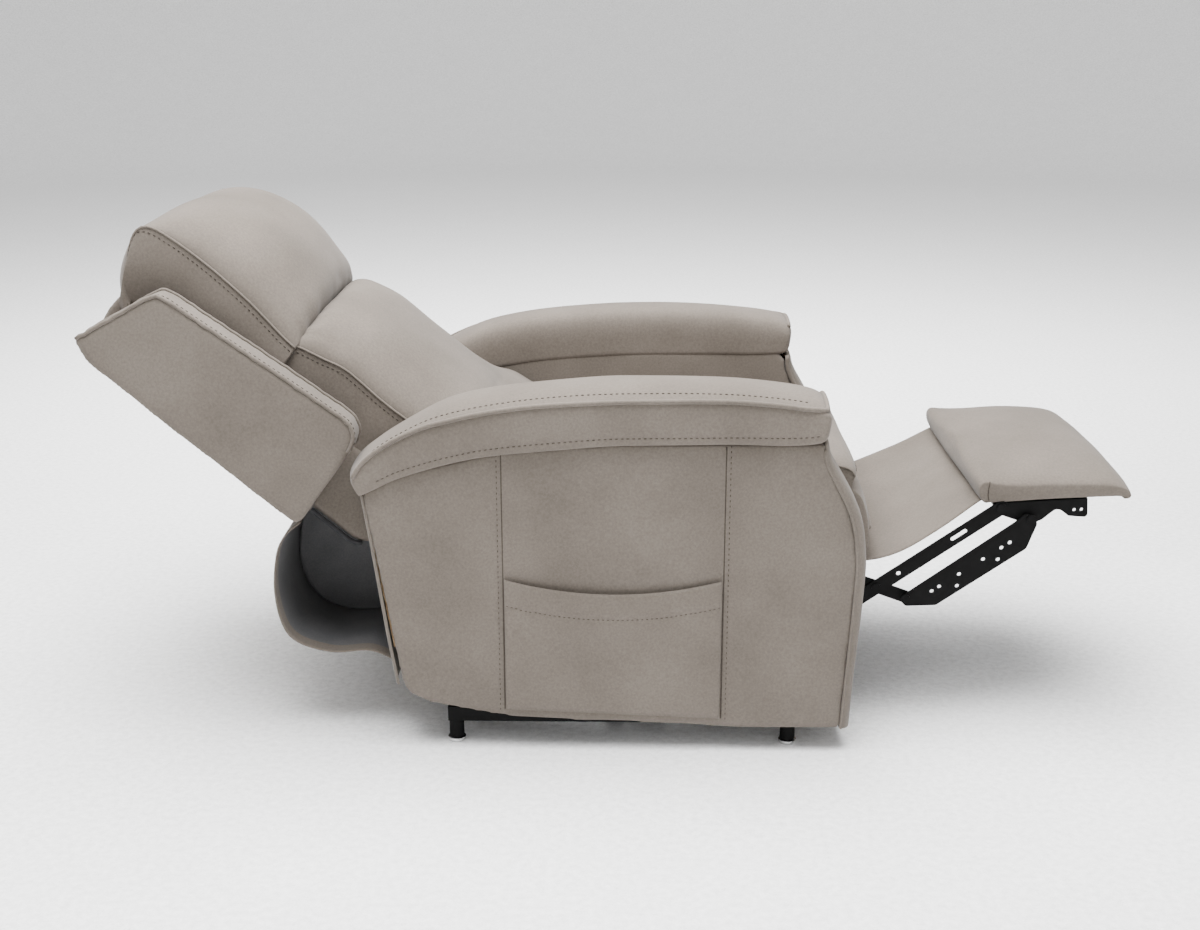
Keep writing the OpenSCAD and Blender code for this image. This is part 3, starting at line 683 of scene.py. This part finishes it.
for word, side in SIDES.items():
    outline = rounded(on_back(WING_OUTLINE), WING_ROUNDING)
    y0, y1 = sorted((side * WING_INNER, side * WING_OUTER))
    wing = slab(f"back_wing_soft_{word}", outline, y0, y1, suede)
    remesh(wing, 6, 5)
    points = coordinates(wing)
    middle = back_point(500, -40)
    spread = np.hypot((points[:, 0] - middle[0]) / 260, (points[:, 2] - middle[1]) / 200)
    fuller = 2.5 * np.clip(1 - spread**2, 0, 1)
    points[:, 1] += np.where(side * points[:, 1] > 345, side * fuller, 0)
    place(wing, points)
    ripple(wing, 120, 1.2)
    finish_soft(wing, "backrest", "suede_fabric", f"back_wing_{word}", fill=0.8)
    surface = surface_of(wing)
    edge = spline(on_back(WING_EDGE), 8)
    outer = laid_on(surface, evenly(with_y(edge, side * (WING_OUTER - 1)), 8), 2.0)
    trim(tube(f"wing_piping_outer_{word}", outer, 3.2, suede), "backrest")
    inner = laid_on(surface, evenly(with_y(edge, side * (WING_INNER + 2)), 8), 1.8)
    trim(tube(f"wing_piping_inner_{word}", inner, 3.0, suede), "backrest")
    row = with_y(edge + np.array([2.0, 4.0]), side * (WING_OUTER - 12))
    trim(stitches(f"wing_stitches_{word}", surface, [row], thread_and_seam_shade), "backrest")

    # upholstery that closes the back between the cushions and the wing
    back_fill = back_pad(f"back_fill_soft_{word}", FILLER, 10, side * 236, side * OUTSIDE_HALF, 8)
    finish_soft(back_fill, "backrest", "suede_fabric", fill=0.5)

    # the padded side of the lower back, between the wing and the arm
    box_side = back_pad(f"lower_back_side_{word}", LOWER_SIDE, 10, side * 242, side * 257, 6)
    ripple(box_side, 90, 1.0)
    finish_soft(box_side, "backrest", "suede_fabric", fill=0.5)
    # a black cord along the lower edge of the padded side
    edge = evenly(with_y(on_back(ZIP_LINE), side * 258), 12)
    trim(tube(f"lower_back_black_cord_{word}", edge, 4.2, black_plastic), "backrest")

# the upholstered top end of the back, under the overhang of the head cushion
back_top = back_pad("back_top_soft", TOP_END, 12, -253, 253, 7)
finish_soft(back_top, "backrest", "suede_fabric", fill=0.5)

# the outside of the back, narrower below the wings
lower_back = back_pad("lower_back_soft", LOWER_OUTSIDE, 6, -254, 254, 7)
finish_soft(lower_back, "backrest", "suede_fabric", fill=0.4)
outside_back = back_pad("outside_back_soft", OUTSIDE, 8, -OUTSIDE_HALF, OUTSIDE_HALF, 7)
points = coordinates(outside_back)
out_of_back = np.array([-math.sin(BACK_SLOPE), 0, -math.cos(BACK_SLOPE)])
fuller = 5 * np.clip(1 - (points[:, 1] / 300) ** 2, 0, 1)
place(outside_back, points + fuller[:, None] * out_of_back)
ripple(outside_back, 160, 2.0)
finish_soft(outside_back, "backrest", "suede_fabric", "outside_back_panel", fill=0.4)


# ---- Seat --------------------------------------------------------------------

# Each row: top or front x, z; side seam x, z; underside x, z
SEAT_STATIONS = [
    (0, 420, -2, 416, 10, 352),
    (-34, 430, -32, 424, 16, 350),
    (-38, 444, -35, 436, 24, 348),
    (2, 453, 4, 440, 36, 348),
    (80, 466, 80, 450, 90, 348),
    (160, 482, 160, 465, 160, 348),
    (240, 483, 240, 466, 240, 348),
    (310, 482, 310, 466, 310, 348),
    (360, 480, 358, 464, 350, 348),
    (392, 476, 388, 460, 376, 348),
    (410, 468, 402, 454, 386, 347),
    (417, 456, 408, 446, 390, 345),
    (414, 442, 404, 438, 391, 341),
    (404, 433, 397, 431, 392, 336),
    (408, 425, 402, 424, 392, 330),
    (426, 408, 419, 408, 392, 324),
    (436, 386, 428, 386, 392, 318),
    (442, 360, 434, 360, 392, 312),
    (443, 334, 436, 334, 392, 306),
    (439, 310, 433, 310, 393, 301),
    (429, 296, 426, 297, 396, 297),
]

rows = spline(SEAT_STATIONS, 4)
rings = cushion_rings(rows, lambda x, z: np.array([x, z]), SEAT_SEAM_Y, 256, 2, 4.0)
seat = loft("seat_cushion_soft", rings, suede)
swell(seat, crown_freedom(rings), 3.0, 7)
ripple(seat, 130, 2.5)
subdivide(seat)
finish_soft(seat, "chassis", "suede_fabric", "seat_cushion", fill=0.7)
seat_surface = surface_of(seat)
for word, side in SIDES.items():
    line = spline([(row[2], row[3]) for row in SEAT_STATIONS[3:14]], 6)
    line = laid_on(seat_surface, evenly(with_y(line, side * SEAT_SEAM_Y), 9), 0.6)
    trim(tube(f"seat_seam_{word}", line, 2.0, suede), "chassis")
# a dark cord sunk into the fold of the seat front: painted shade in the crease
fold = [(403, y, 432) for y in np.linspace(-250, 250, 60)]
crease_shade_line = laid_on(seat_surface, fold, -0.6)
trim(tube("seat_front_crease_shade", crease_shade_line, 1.6, thread_and_seam_shade), "chassis")
nose = laid_on(seat_surface, [(446, y, 352) for y in np.linspace(-252, 252, 60)], 0.8)
trim(tube("seat_nose_piping", nose, 2.8, suede), "chassis")
above = [(418, y, 452) for y in np.linspace(-246, 246, 60)]
trim(stitches("seat_front_stitches", seat_surface, [above], thread_and_seam_shade), "chassis")


# ---- Arms --------------------------------------------------------------------

# Along the arm from its rear tip: ridge x, z; piping x, z; lip x, z
CAP_STATIONS = [
    (-419, 462, -410, 462, -401, 446),
    (-417, 480, -406, 478, -395, 447),
    (-404, 498, -394, 497, -384, 452),
    (-384, 515, -376, 514, -366, 461),
    (-352, 538, -348, 534, -340, 474),
    (-300, 568, -296, 559, -296, 489),
    (-256, 588, -256, 571, -256, 500),
    (-200, 602, -200, 584, -200, 512),
    (-123, 614, -123, 595, -123, 522),
    (-13, 623, -13, 602, -13, 531),
    (65, 625, 65, 604, 65, 533),
    (142, 624, 142, 605, 142, 534),
    (208, 621, 208, 604, 208, 535),
    (270, 615, 270, 599, 270, 535),
    (310, 609, 310, 594, 308, 536),
    (332, 603, 332, 589, 328, 538),
    (345, 594, 345, 584, 340, 542),
    (353, 580, 352, 576, 348, 552),
]


def cap_ring(row, side, inset):
    """One section across an arm cap, from its inner foot over the ridge to the outer lip."""
    ridge, pipe, lip = np.array(row[0:2]), np.array(row[2:4]), np.array(row[4:6])

    def at(y, a, b, share):
        x, z = a + (b - a) * share
        return (x, side * y, z)

    inner, outer = ARM_INNER + 1 + inset, ARM_LIP - 2 - inset
    return [
        at(inner, lip, ridge, -0.04),
        at(inner, lip, ridge, 0.2),
        at(inner, lip, ridge, 0.4),
        at(inner + 1, lip, ridge, 0.58),
        at(inner + 4, lip, ridge, 0.74),
        at(inner + 10, lip, ridge, 0.87),
        at(inner + 20, lip, ridge, 0.95),
        at(inner + 34, lip, ridge, 0.99),
        at(inner + 52, lip, ridge, 1.0),
        at(inner + 70, lip, ridge, 1.0),
        at(outer - 44, ridge, pipe, 0.08),
        at(outer - 28, ridge, pipe, 0.28),
        at(outer - 15, ridge, pipe, 0.55),
        at(outer - 6, ridge, pipe, 0.82),
        at(outer, ridge, pipe, 1.0),
        at(outer + 1, pipe, lip, 0.2),
        at(outer + 2, pipe, lip, 0.45),
        at(outer + 1.5, pipe, lip, 0.7),
        at(outer, pipe, lip, 0.9),
        at(outer - 3, pipe, lip, 1.0),
        at(outer - 10, pipe, lip, 1.02),
        at(outer - 26, pipe, lip, 1.0),
        at(outer - 60, pipe, lip, 1.0),
        at(inner + 40, pipe, lip, 1.0),
    ]


# The arm's front edge, the line where its cap ends, and its foot, as x, z
SIDE_FRONT_SEAM = spline([(342, 534), (347, 498), (387, 416), (400, 349), (400, 280), (386, 43)], 6)
FRONT_FACE = spline([(350, 533), (361, 498), (405, 416), (418, 349), (418, 280), (403, 42)], 6)
LIP_LINE = [(-396, 447), (-330, 481), (-171, 518), (-13, 530), (332, 534)]
SIDE_FOOT = [(386, 42), (189, 44), (-170, 60), (-296, 84), (-330, 100), (-341, 122)]


def pillow(x, edges, height):
    """Rises between upright seams and dips at each of them."""
    out = np.zeros_like(x)
    for a, b in zip(edges, edges[1:]):
        t = np.clip((x - a) / (b - a), 0, 1)
        inside = (x >= a) & (x < b)
        out = np.where(inside, height * (1 - (2 * t - 1) ** 6), out)
    return out


def pocket_lip(x):
    """Height of the pocket's mouth, which dips in the middle."""
    t = (x - SEAM_REAR) / (SEAM_FRONT - SEAM_REAR)
    return 304 - 22 * (1 - (2 * t - 1) ** 2)


def side_foot(x):
    """Height of the side panel's lower edge between its upright seams."""
    return np.interp(x, [SEAM_REAR, SEAM_FRONT], [69, 55])


for word, side in SIDES.items():
    # padded cap over the arm
    rows = spline(CAP_STATIONS, 4)
    insets = np.zeros(len(rows))
    insets[:6] = [12, 7, 4, 2, 1, 0.5]
    insets[-6:] = [0.5, 1, 2.5, 5, 9, 16]
    sections = []
    for row, inset in zip(rows, insets):
        section = cap_ring(row, side, inset)
        sections.append(spline([*section, section[0]], 2)[:-1])
    cap = loft(f"arm_cap_soft_{word}", np.array(sections), suede)
    ripple(cap, 140, 2.0)
    subdivide(cap)
    finish_soft(cap, "chassis", "suede_fabric", f"arm_cap_{word}", fill=0.8)
    surface = surface_of(cap)
    pipe = [(row[2], side * (ARM_LIP - 1.5), row[3]) for row in CAP_STATIONS[1:15]]
    pipe += [(338, side * 394, 592), (347, side * 383, 598), (349, side * 366, 602)]
    pipe += [(350, side * 330, 603), (349, side * 296, 600), (346, side * 276, 592)]
    piping = laid_on(surface, evenly(spline(pipe, 6), 8), 2.2)
    trim(tube(f"arm_piping_{word}", piping, 3.8, suede), "chassis")
    above = [(row[2], side * (ARM_LIP - 18), row[3] + 9) for row in CAP_STATIONS[3:15]]
    below = [(row[4], side * (ARM_LIP + 1), row[5] + 12) for row in CAP_STATIONS[3:16]]
    rows_of_stitches = [spline(above, 5), spline(below, 5)]
    trim(stitches(f"arm_stitches_{word}", surface, rows_of_stitches, thread_and_seam_shade), "chassis")

    # side panel in three fields between its upright seams
    outline = np.array([*LIP_LINE, *SIDE_FRONT_SEAM, *SIDE_FOOT[1:]])
    y0, y1 = sorted((side * (ARM_SIDE - 16), side * (ARM_SIDE - 1)))
    panel = slab(f"arm_side_soft_{word}", rounded(outline, 8, 3), y0, y1, suede)
    remesh(panel, 5, 5)
    points = coordinates(panel)
    field = pillow(points[:, 0], [-400, SEAM_REAR, SEAM_FRONT, 388], 3.0)
    points[:, 1] += np.where(side * points[:, 1] > ARM_SIDE - 8, side * (field - 1.5), 0)
    place(panel, points)
    ripple(panel, 170, 2.2)
    finish_soft(panel, "chassis", "suede_fabric", f"arm_side_panel_{word}", fill=0.3)
    surface = surface_of(panel)
    # each upright seam gets a dark cord sunk into it, painted shade in the seam groove, with a row of
    # stitches beside it
    rows_of_stitches = []
    for x, aside in ((SEAM_REAR, -7), (SEAM_FRONT, 7)):
        top = 520 if x < 0 else 528
        upright = [(x, side * ARM_SIDE, z) for z in np.linspace(side_foot(x) + 4, top, 60)]
        line = laid_on(surface, upright, -0.2)
        end = "front" if x > 0 else "rear"
        trim(tube(f"side_seam_shade_{end}_{word}", line, 1.1, thread_and_seam_shade, 6), "chassis")
        rows_of_stitches.append(np.array(upright) + np.array([aside, 0, 0]))
    row = stitches(f"side_stitches_{word}", surface, rows_of_stitches, thread_and_seam_shade, 9, 4.2, 0.7)
    trim(row, "chassis")
    edge = evenly(with_y(SIDE_FRONT_SEAM[2:], side * (ARM_SIDE - 0.5)), 8)
    trim(tube(f"front_seam_piping_{word}", edge, 2.4, suede), "chassis")
    edge = evenly(with_y(SIDE_FRONT_SEAM[:-4], side * (ARM_INNER + 3)), 8)
    trim(tube(f"inner_seam_piping_{word}", edge, 4.5, suede), "chassis")

    # front panel wrapped over the arm's front edge
    rings = []
    for back, front in zip(SIDE_FRONT_SEAM, FRONT_FACE):
        ring = []
        for a in np.linspace(-math.pi / 2, math.pi / 2, 25):
            s = math.sin(a)
            share = max(0.0, 1 - abs(s) ** 5) ** 0.5
            x, z = back + (front - back) * (0.02 + 0.98 * share)
            ring.append((x, side * (ARM_INNER + 60 + 57.5 * s), z))
        for y in np.linspace(ARM_SIDE - 4, ARM_INNER + 4, 8):
            ring.append((back[0] - 2, side * y, back[1]))
        rings.append(ring)
    front_panel = loft(f"arm_front_soft_{word}", np.array(rings), suede)
    ripple(front_panel, 120, 1.2)
    finish_soft(front_panel, "chassis", "suede_fabric", f"arm_front_panel_{word}", fill=0.5)

    # skin over the arm's rear end
    rear_line = evenly([(-397, 446), (-384, 360), (-361, 190), (-349, 116)], 8)
    grid = []
    for x, z in rear_line:
        ys = np.linspace(ARM_INNER + 3, ARM_SIDE - 2, 24)
        grid.append([(x - 4 + 8 * abs((y - 322.5) / 58) ** 6, side * y, z) for y in ys])
    grid = np.array(grid) if side < 0 else np.array(grid)[:, ::-1]
    rear_skin = grid_sheet(f"arm_rear_skin_{word}", grid, 2.5, suede)
    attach(rear_skin, "chassis")

    # inner panel beside the seat
    top = [(x, z + 14) for x, z in LIP_LINE[1:-1]]
    front = SIDE_FRONT_SEAM[2:-3] - (4, 0)
    inner = [(-352, 172), (-394, 448), *top, (318, 546), *front, (378, 176)]
    y0, y1 = sorted((side * (ARM_INNER + 2.5), side * (ARM_INNER + 19)))
    inner_panel = slab(f"arm_inner_soft_{word}", rounded(inner, 6, 3), y0, y1, suede)
    remesh(inner_panel, 7, 4)
    finish_soft(inner_panel, "chassis", "suede_fabric", f"arm_inner_panel_{word}", fill=0.3)

    # patch pocket whose lip hangs a little open
    grid = []
    for v in np.linspace(0, 1, 46):
        row = []
        for u in np.linspace(0, 1, 61):
            x = SEAM_REAR + 3 + (SEAM_FRONT - SEAM_REAR - 6) * u
            z = side_foot(x) + 6 + (pocket_lip(x) - side_foot(x) - 6) * v
            gape = 8.0 * math.sin(math.pi * u) ** 0.7 * v**2.2
            fold = 1.6 * math.exp(-(((u - 0.44) / 0.12) ** 2) - ((v - 0.68) / 0.07) ** 2)
            sag = noise.noise(Vector((x / 90, z / 60, 3.0 * side))) * 1.5
            hem = 0.9 if z > pocket_lip(x) - 44 else 0.0
            y = ARM_SIDE + 1.6 + gape + hem + (sag - fold) * math.sin(math.pi * u) * v
            row.append((x, side * y, z))
        grid.append(row)
    grid = np.array(grid) if side > 0 else np.array(grid)[:, ::-1]
    pocket = grid_sheet(f"side_pocket_cloth_{word}", grid, 2.2, suede)
    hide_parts(f"side_pocket_{word}")
    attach(pocket, "chassis")
    surface = surface_of(pocket)
    hem_row = [(x, side * 394, pocket_lip(x) - 46) for x in np.linspace(-166, 181, 60)]
    row = stitches(f"pocket_stitches_{word}", surface, [hem_row], thread_and_seam_shade, 8, 4.2, 0.6)
    trim(row, "chassis")


# ---- Footrest pad ------------------------------------------------------------

# Each row: top u, w; side edge u, w; underside u, w
PAD_STATIONS = [
    (4, 3, 8, 4, 12, 1.5),
    (-4, 12, 3, 9, 10, 1.2),
    (-8, 26, -1, 20, 10, 1),
    (-9, 40, 0, 33, 14, 1),
    (0, 50, 8, 39, 24, 1),
    (22, 55, 26, 35, 40, 1),
    (60, 59, 60, 30, 66, 1),
    (120, 61, 120, 28, 120, 1),
    (180, 54, 180, 25, 180, 1),
    (222, 44, 220, 21, 212, 1),
    (243, 32, 239, 15, 227, 1),
    (251, 19, 247, 8, 236, 0),
    (253, 7, 249, 2, 240, -2),
    (247, -2, 245, -2, 239, -4),
]
PAD_CORNER = [(16, 44), (13, 30), (12, 16), (14, 6)]

rows = spline(PAD_STATIONS, 5)
rings = cushion_rings(rows, pad_point, PAD_SEAM_Y, 247, 2, 2.8)
pad = loft("footrest_pad_soft", rings, suede)
swell(pad, crown_freedom(rings), 3.0, 5)
ripple(pad, 120, 2.0)
subdivide(pad)
finish_soft(pad, "footrest", "suede_fabric", "footrest_pad", fill=0.75)
pad_surface = surface_of(pad)
for word, side in SIDES.items():
    corner = with_y([pad_point(u, w) for u, w in PAD_CORNER], side * (PAD_SEAM_Y + 1))
    corner = laid_on(pad_surface, evenly(spline(corner, 4), 4), 0.2)
    # a thin dark cord along the corner seam: painted shade in the seam groove
    trim(tube(f"pad_corner_seam_shade_{word}", corner, 1.0, thread_and_seam_shade, 6), "footrest")


# ---- Hanging sheets ----------------------------------------------------------

# the leg flap between the seat's nose and the footrest
FLAP_HALF = 236
flap_from, flap_to = np.array([435, 299]), np.array([628, 400])
grid = []
for t in np.linspace(0, 1, 30):
    row = []
    for y in np.linspace(-FLAP_HALF, FLAP_HALF, 61):
        x, z = flap_from + t * (flap_to - flap_from)
        wave = 2.5 * noise.noise(Vector((t * 2.2, y / 110, 5.0)))
        near = 0.5 - 0.5 * y / FLAP_HALF
        sag = (8 + 96 * near) * t * (1 - t) ** 1.4 + (22 * near - 12) * (1 - t) ** 2
        row.append((x, y, z - sag + wave * math.sin(math.pi * t)))
    grid.append(row)
flap = grid_sheet("leg_flap_cloth", np.array(grid)[:, ::-1], 2.0, suede, lining, 2)
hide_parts("leg_flap")
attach(flap, "chassis")
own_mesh(flap)

# the loose cover that joins the back's foot to the chassis
COVER_LINE = [
    (-512, 377), (-540, 352), (-557, 312), (-562, 243), (-536, 174), (-472, 145), (-402, 148),
    (-352, 124), (-324, 106),
]
COVER_HALF = 317
WALL_Y = 130
WALL_TOP = [(-500, 372), (-430, 330), (-372, 288), (-372, 160)]

line = evenly(spline(COVER_LINE, 8), 9)
grid = []
for i, (x, z) in enumerate(line):
    t = i / (len(line) - 1)
    row = []
    for y in np.linspace(-COVER_HALF, COVER_HALF, 73):
        wave = 4.0 * noise.noise(Vector((t * 5, y / 130, 9.0))) * math.sin(math.pi * t)
        row.append((x + wave, y, z + 0.6 * wave))
    grid.append(row)
cover = grid_sheet("rear_cover_cloth", grid, 2.6, suede, lining, 3)
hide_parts("rear_cover")

# lining walls inside the cover, a little inside its line
inner_sheets = []
inside_cover = [(x + (8 if x < -500 else 0), z + (0 if z > 200 else 6)) for x, z in COVER_LINE[:7]]
edge = evenly(spline(inside_cover, 6), 12)
top_edge = evenly(WALL_TOP, 12)
for word, side in SIDES.items():
    grid = []
    for t in np.linspace(0, 1, 26):
        row = []
        for s in np.linspace(0, 1, 24):
            a = edge[min(len(edge) - 1, round(t * (len(edge) - 1)))]
            b = top_edge[min(len(top_edge) - 1, round(t * (len(top_edge) - 1)))]
            x, z = a + (b - a) * s
            wave = 5 * noise.noise(Vector((x / 70, z / 90, 2.0 * side)))
            row.append((x, side * WALL_Y + wave, z))
        grid.append(row)
    inner = grid_sheet(f"cover_inner_wall_{word}", grid, 1.6, lining)
    inner_sheets.append(inner)

for piece in (cover, *inner_sheets):
    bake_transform(piece)


# ---- CAD nodes that stay as they are -----------------------------------------

NODE_MATERIALS = {
    "lining": ("footrest_board", "rear_tack_rail"),
    "plywood": ("seat_box", "arm_frame", "back_frame"),
    "bright": ("levelling_glides", "base_pivot_bolts", "actuator_rod"),
    "spring": ("seat_springs",),
    "plastic": ("actuator_body", "control_box", "power_inlet"),
}
MATERIAL_OF = {
    "lining": lining,
    "plywood": plywood,
    "bright": bright_steel,
    "spring": spring_steel,
    "plastic": black_plastic,
}


def node_material(name):
    """Black steel, unless a word in the node's name says otherwise."""
    for kind, words in NODE_MATERIALS.items():
        if any(word in name for word in words):
            return MATERIAL_OF[kind]
    return black_steel


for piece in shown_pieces():
    if "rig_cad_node" not in piece:
        continue
    material = node_material(piece["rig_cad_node"])
    for holder in piece.material_slots:
        holder.link = "OBJECT"
        holder.material = material


# ---- Studio ------------------------------------------------------------------


def studio_bowl(name, floor_radius, curve_radius, height, around=96):
    """A pale floor that curves up into a low round wall, so that no horizon shows. In metres."""
    profile = [(0.02, 0.0)]
    for a in np.linspace(0, math.pi / 2, 24):
        profile.append((floor_radius + curve_radius * math.sin(a), curve_radius * (1 - math.cos(a))))
    profile.append((floor_radius + curve_radius, height))
    turns = np.arange(around) * 2 * math.pi / around
    vertices = [(r * math.cos(a) / MM, r * math.sin(a) / MM, z / MM) for r, z in profile for a in turns]
    faces = [tuple(range(around))]
    for i in range(len(profile) - 1):
        for j in range(around):
            k = (j + 1) % around
            low, high = i * around, (i + 1) * around
            faces.append((low + j, low + k, high + k, high + j))
    return new_piece(name, vertices, faces, studio_floor)


def soft_light(name, place_at, aim, size, power):
    data = bpy.data.lights.new(name, "AREA")
    data.shape = "RECTANGLE"
    data.size, data.size_y = size
    data.energy = power
    light = bpy.data.objects.new(name, data)
    bpy.context.scene.collection.objects.link(light)
    light.location = place_at
    light.rotation_euler = (Vector(aim) - Vector(place_at)).to_track_quat("-Z", "Y").to_euler()


scene = bpy.context.scene
floor = studio_bowl("studio_floor", 9, 4, 7)

world = bpy.data.worlds.new("studio")
world.use_nodes = True
sky = world.node_tree.nodes["Background"]
sky.inputs["Color"].default_value = (1, 1, 1, 1)
sky.inputs["Strength"].default_value = 0.74
scene.world = world

soft_light("overhead", (-0.3, -0.2, 3.2), (0, 0, 0.3), (3.4, 3.0), 530)
soft_light("backdrop", (0.0, 1.9, 2.4), (0, 5.5, 0.6), (4.0, 1.6), 240)
soft_light("front_fill", (0.6, -3.6, 1.9), (0, 0, 0.4), (2.6, 1.8), 12)

# the photograph's viewpoint
CAMERA_PITCH, CAMERA_TURN = math.radians(90 - 16.34), math.radians(1.18)
camera_data = bpy.data.cameras.new("camera")
camera_data.sensor_width = 36
camera_data.lens = 47.5
camera = bpy.data.objects.new("camera", camera_data)
scene.collection.objects.link(camera)
camera.location = (0.036, -2.792, 1.204)
camera.rotation_euler = (CAMERA_PITCH, 0, CAMERA_TURN)
scene.camera = camera
